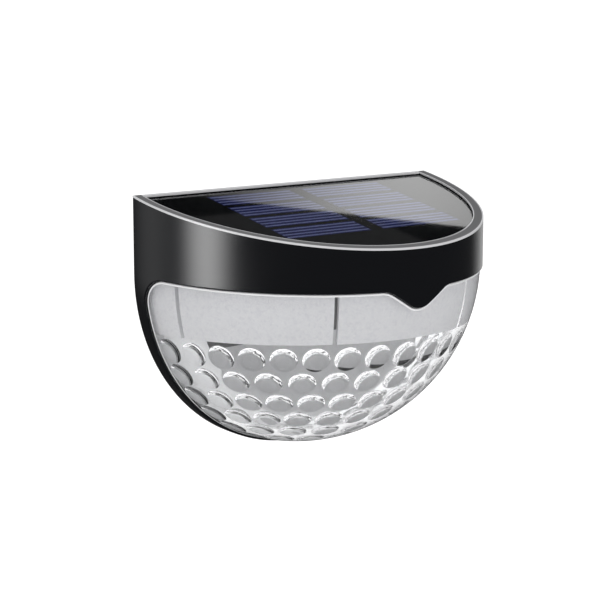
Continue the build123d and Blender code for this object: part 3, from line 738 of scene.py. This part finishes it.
def makeSleeve():
    shape = weldedCopy("diffuser")
    for vertex in shape.verts:
        away = roundAway(vertex.co)
        if vertex.co.z <= sleeve["trayHeight"] and abs(away.length - sleeve["outerFace"]) < sleeve["band"]:
            vertex.co += away.normalized() * sleeve["growth"]
    return shape


# The border of the lens, tucked behind the housing, is painted pale as a painted highlight for the light its
# edge catches where it shows through the dome
lensBorder = {"inner": 54.3 * mm, "slack": 0.006 * mm}


def paintBorderHighlight(piece):
    piece.data.materials.append(lensEdgeHighlight)
    reaches = [roundReach(vertex.co) for vertex in piece.data.vertices]
    outer = max(reaches) - lensBorder["slack"]
    for face in piece.data.polygons:
        corners = [reaches[index] for index in face.vertices]
        if min(corners) < outer and max(corners) > lensBorder["inner"]:
            face.material_index = 1
    return outer


# A pale lip along that border on the lens's outer face: a painted highlight strip for the bright line along the
# lens's edge
lip = {"width": 0.32 * mm, "lift": 0.03 * mm}


def makeHighlightLip(lensPiece, outer):
    shape = bmesh.new()
    shape.from_mesh(lensPiece.data)
    loop = walkLoop(edge for edge in shape.edges
                    if {face.material_index for face in edge.link_faces} == {0, 1}
                    and all(roundReach(vertex.co) > outer for vertex in edge.verts))
    places = [vertex.co.copy() for vertex in loop]
    shape.free()
    middle = sum(places, Vector()) / len(places)
    strip = bmesh.new()
    rows = []
    for index, place in enumerate(places):
        along = (places[(index + 1) % len(places)] - places[index - 1]).normalized()
        outward = roundNormal(place)
        inward = along.cross(outward).normalized()
        inward = inward if inward.dot(middle - place) > 0 else -inward
        lifted = place + outward * lip["lift"]
        rows.append([strip.verts.new(spot) for spot in
                     (place, lifted, lifted + inward * lip["width"], place + inward * lip["width"])])
    joinRows(strip, rows + rows[:1])
    bmesh.ops.recalc_face_normals(strip, faces=strip.faces)
    mesh = bpy.data.meshes.new("lensLip")
    strip.to_mesh(mesh)
    strip.free()
    mesh.materials.append(lensEdgeHighlight)
    piece = linkObject("lensLip", mesh)
    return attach(piece, "light")


lensPiece = finishPiece(makeLens(), "lensDome", "lens")
makeHighlightLip(lensPiece, paintBorderHighlight(lensPiece))
finishPiece(makeSleeve(), "diffuserSleeve", "diffuser")
print("lens and sleeve ready")


# A silvered lip behind the reflector closes the view past its skirt down to the back plate. It follows the
# half circle of the dome and runs up at both ends.
backLip = {"inner": 51.0 * mm, "outer": 54.05 * mm, "back": -2.9 * mm, "front": -3.2 * mm, "top": 0.8 * mm,
           "steps": 96}


def addBackLip(shape):
    steps = backLip["steps"]
    rows = []
    for step in range(-1, steps + 2):
        turn = math.pi * min(max(step, 0), steps) / steps
        height = backLip["top"] if step in (-1, steps + 1) else roundCentre.z
        corners = []
        for reach, depth in (("inner", "front"), ("outer", "front"), ("outer", "back"), ("inner", "back")):
            corners.append(shape.verts.new((backLip[reach] * math.cos(turn), backLip[depth],
                                            height - backLip[reach] * math.sin(turn))))
        rows.append(corners)
    made = [shape.faces.new(rows[0]), shape.faces.new(rows[-1])] + joinRows(shape, rows)
    bmesh.ops.recalc_face_normals(shape, faces=made)
    return shape


finishPiece(addBackLip(weldedCopy("reflector")), "reflectorPlate", "reflector")
print("reflector ready")


# Finger lines on the cells, as thin printed strips in rows

fingers = {"cells": 8, "lines": 4, "width": 0.85 * mm, "thickness": 0.02 * mm, "inset": 0.35 * mm,
           "edgeRoom": 1.05 * mm}


def buildFingerTree():
    tree = bpy.data.node_groups.new("fingerLines", "GeometryNodeTree")
    face = tree.interface
    face.new_socket(name="Geometry", in_out="INPUT", socket_type="NodeSocketGeometry")
    for name, kind in (("Cell Length", "Float"), ("Cell Height", "Float"), ("Line Width", "Float"),
                       ("Thickness", "Float"), ("Edge Room", "Float"), ("Lines", "Int"), ("Slope", "Float"),
                       ("Finish", "Material")):
        face.new_socket(name=name, in_out="INPUT", socket_type="NodeSocket" + kind)
    face.new_socket(name="Geometry", in_out="OUTPUT", socket_type="NodeSocketGeometry")
    inside = addNode(tree, "NodeGroupInput").outputs
    outside = addNode(tree, "NodeGroupOutput")
    spread = maths(tree, "MULTIPLY_ADD", inside["Edge Room"], -2.0, inside["Cell Height"])
    gaps = maths(tree, "SUBTRACT", inside["Lines"], 1.0)
    pitch = maths(tree, "DIVIDE", spread, gaps)
    size = setInputs(tree, addNode(tree, "ShaderNodeCombineXYZ"), n0=inside["Cell Length"],
                     n1=inside["Line Width"], n2=inside["Thickness"])
    strip = setInputs(tree, addNode(tree, "GeometryNodeMeshCube"), Size=size.outputs[0])
    start = setInputs(tree, addNode(tree, "ShaderNodeCombineXYZ"), n1=maths(tree, "MULTIPLY", spread, -0.5))
    step = setInputs(tree, addNode(tree, "ShaderNodeCombineXYZ"), n1=pitch)
    row = setInputs(tree, addNode(tree, "GeometryNodeMeshLine"), Count=inside["Lines"],
                    Start_Location=start.outputs[0], Offset=step.outputs[0])
    cell = setInputs(tree, addNode(tree, "GeometryNodeInstanceOnPoints"), Points=row.outputs[0],
                     Instance=strip.outputs[0])
    tilt = setInputs(tree, addNode(tree, "ShaderNodeCombineXYZ"), n0=inside["Slope"])
    turn = setInputs(tree, addNode(tree, "FunctionNodeEulerToRotation"), n0=tilt.outputs[0])
    field = setInputs(tree, addNode(tree, "GeometryNodeInstanceOnPoints"), Points=inside["Geometry"],
                      Instance=cell.outputs[0], Rotation=turn.outputs[0])
    real = setInputs(tree, addNode(tree, "GeometryNodeRealizeInstances"), n0=field.outputs[0])
    coat = setInputs(tree, addNode(tree, "GeometryNodeSetMaterial"), n0=real.outputs[0],
                     Material=inside["Finish"])
    tree.links.new(coat.outputs[0], outside.inputs[0])
    return tree


# Runs a tree on a mesh of points and keeps the result as a plain piece
def growPiece(name, tree, points, body, **values):
    mesh = bpy.data.meshes.new(name)
    mesh.from_pydata(points, [], [])
    seed = linkObject(name + "Seed", mesh)
    modifier = seed.modifiers.new(name, "NODES")
    modifier.node_group = tree
    for label, value in values.items():
        setTreeInput(modifier, label, value)
    bpy.context.view_layer.update()
    grown = bpy.data.meshes.new_from_object(seed.evaluated_get(bpy.context.evaluated_depsgraph_get()))
    bpy.data.objects.remove(seed)
    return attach(linkObject(name, grown), body)


def makeFingers():
    places = []
    for index in range(1, fingers["cells"] + 1):
        low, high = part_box(f"solar_cell_{index}")
        corners = [vertex.co for vertex in nodes[f"solar_cell_{index}"].data.vertices]
        alongRoof = [corner.dot(roofAlong) for corner in corners]
        upper = max(corner.dot(roofUp) for corner in corners)
        middle = (low + high) / 2
        places.append(middle + roofUp * (upper - middle.dot(roofUp) + fingers["thickness"] / 2))
    piece = growPiece("cellFingers", buildFingerTree(), places, "light", **{
        "Cell Length": high.x - low.x - 2 * fingers["inset"], "Cell Height": max(alongRoof) - min(alongRoof),
        "Slope": roofSlope, "Line Width": fingers["width"], "Thickness": fingers["thickness"],
        "Edge Room": fingers["edgeRoom"], "Lines": fingers["lines"], "Finish": fingerSilver})


makeFingers()
print("cell lines ready")


# Stage and light

stage = {"floorHeight": -0.32, "floorSize": 60.0, "white": 0.9, "floorRoughness": 0.9, "floorGlow": 0.35,
         "glossLevel": 0.05, "diffuseLevel": 0.95, "bounces": 24}

# Cards that only shine in gloss. Each is given by the middle of its upper edge, the way that edge runs, its
# height downwards, its radiance in the middle and the pieces it is seen in.
cards = {
    "leftCard": {"edge": (-1.6, 0.07, 0.9), "across": (0.05, 1, 0), "width": 1.6, "height": 1.9,
                 "radiance": 9.3, "seenIn": ("housingShell", "trimRing")},
    "farLeftCard": {"edge": (-1.2, 1.1, 0.9), "across": (0.68, 0.73, 0), "width": 2.0, "height": 1.9,
                    "radiance": 0.7, "seenIn": ("housingShell",)},
    "rightCard": {"edge": (1.6, 0.9, 0.9), "across": (0.49, -0.87, 0), "width": 2.4, "height": 1.9,
                  "radiance": 0.9, "seenIn": ("housingShell",)},
    "panelCard": {"edge": (0.897, 0.782, 0.566), "across": (0.768, -0.624, -0.158), "width": 0.45,
                  "height": 0.25, "radiance": 1.5, "seenIn": ("coverSheet",)},
    "backCard": {"edge": (0.0, 1.8, 1.2), "across": (1, 0, 0), "width": 5.0, "height": 2.4,
                 "radiance": 1.6, "seenIn": ("back_plate", "back_screws", "board_screws", "switch_knob")},
}
lamps = {
    "softTop": {"place": (-0.6, -0.9, 1.3), "aim": (0, -0.03, -0.02), "size": (1.2, 1.2), "radiance": 1.2},
}


# The world and the floor are plain white to the camera, also through clear pieces
def seenPlain(tree, path):
    return maths(tree, "MAXIMUM", path["Is Camera Ray"], path["Is Transmission Ray"])


def makeWorld():
    world = bpy.data.worlds.new("studio")
    world.use_nodes = True
    tree = world.node_tree
    tree.nodes.clear()
    path = addNode(tree, "ShaderNodeLightPath").outputs
    seen = seenPlain(tree, path)
    matt = maths(tree, "MULTIPLY_ADD", path["Is Glossy Ray"], stage["glossLevel"] - stage["diffuseLevel"],
                 stage["diffuseLevel"])
    level = maths(tree, "MULTIPLY_ADD", matt, maths(tree, "SUBTRACT", 1.0, seen), seen)
    light = setInputs(tree, addNode(tree, "ShaderNodeBackground"), Color=grey(1.0), Strength=level)
    tree.links.new(light.outputs[0], addNode(tree, "ShaderNodeOutputWorld").inputs[0])
    bpy.context.scene.world = world


def makeFloor():
    mesh = bpy.data.meshes.new("floor")
    half = stage["floorSize"] / 2
    corners = [(-half, -half, 0), (half, -half, 0), (half, half, 0), (-half, half, 0)]
    mesh.from_pydata(corners, [], [(0, 1, 2, 3)])
    mesh.transform(Matrix.Translation((0, 0, stage["floorHeight"])))
    floor = linkObject("floor", mesh)
    material, tree, shader = newMaterial("floorPaper")
    seen = seenPlain(tree, addNode(tree, "ShaderNodeLightPath").outputs)
    setInputs(tree, shader, Base_Color=grey(stage["white"]), Roughness=stage["floorRoughness"],
              Specular_IOR_Level=0.0, Emission_Color=grey(1.0),
              Emission_Strength=maths(tree, "MULTIPLY", seen, stage["floorGlow"]))
    mesh.materials.append(material)
    floor.visible_glossy = False


# A card's glow: full in the middle of its width and none at its two sides
def makeCardLight(name, radiance):
    material, tree, shader = newMaterial(name)
    tree.nodes.remove(shader)
    run = addNode(tree, "ShaderNodeSeparateXYZ")
    setInputs(tree, run, Vector=addNode(tree, "ShaderNodeUVMap", uv_map="across").outputs[0])
    swing = maths(tree, "MULTIPLY_ADD", run.outputs[0], 2.0, -1.0)
    fall = maths(tree, "MULTIPLY_ADD", maths(tree, "MULTIPLY", swing, swing), -1.0, 1.0)
    glow = maths(tree, "MULTIPLY", maths(tree, "MULTIPLY", fall, fall), radiance)
    light = setInputs(tree, addNode(tree, "ShaderNodeEmission"), Strength=glow)
    tree.links.new(light.outputs[0], tree.nodes["Material Output"].inputs[0])
    return material


def makeCard(name, edge, across, width, height, radiance, seenIn):
    along = Vector(across).normalized()
    middle = Vector(edge)
    down = along.cross(middle).normalized()
    down = down if down.z < 0 else -down
    corners = [middle + along * side * width / 2 + down * height * step for side, step in
               ((-1, 0), (1, 0), (1, 1), (-1, 1))]
    mesh = bpy.data.meshes.new(name)
    mesh.from_pydata(corners, [], [(0, 1, 2, 3)])
    place = mesh.uv_layers.new(name="across")
    for loop, value in enumerate((0, 1, 1, 0)):
        place.data[loop].uv = (value, 0)
    mesh.materials.append(makeCardLight(name, radiance))
    card = linkObject(name, mesh)
    for ray in ("camera", "diffuse", "transmission", "volume_scatter", "shadow"):
        setattr(card, "visible_" + ray, False)
    receivers = bpy.data.collections.new(name + "Receivers")
    for pieceName in seenIn:
        receivers.objects.link(bpy.data.objects[pieceName])
    card.light_linking.receiver_collection = receivers


def makeLamp(name, place, aim, size, radiance):
    light = bpy.data.lights.new(name, "AREA")
    light.shape = "RECTANGLE"
    light.size, light.size_y = size
    light.energy = radiance * math.pi * size[0] * size[1]
    lamp = linkObject(name, light)
    lamp.location = place
    lamp.rotation_euler = (Vector(aim) - Vector(place)).to_track_quat("-Z", "Y").to_euler()
    lamp.visible_camera = False
    lamp.visible_glossy = False


makeWorld()
makeFloor()
for cardName, cardValues in cards.items():
    makeCard(cardName, **cardValues)
for lampName, lampValues in lamps.items():
    makeLamp(lampName, **lampValues)
# light crosses the bumps and the cover many times before it ends
for kind in ("max_bounces", "diffuse_bounces", "glossy_bounces", "transmission_bounces"):
    setattr(bpy.context.scene.cycles, kind, stage["bounces"])
print("stage and light ready")
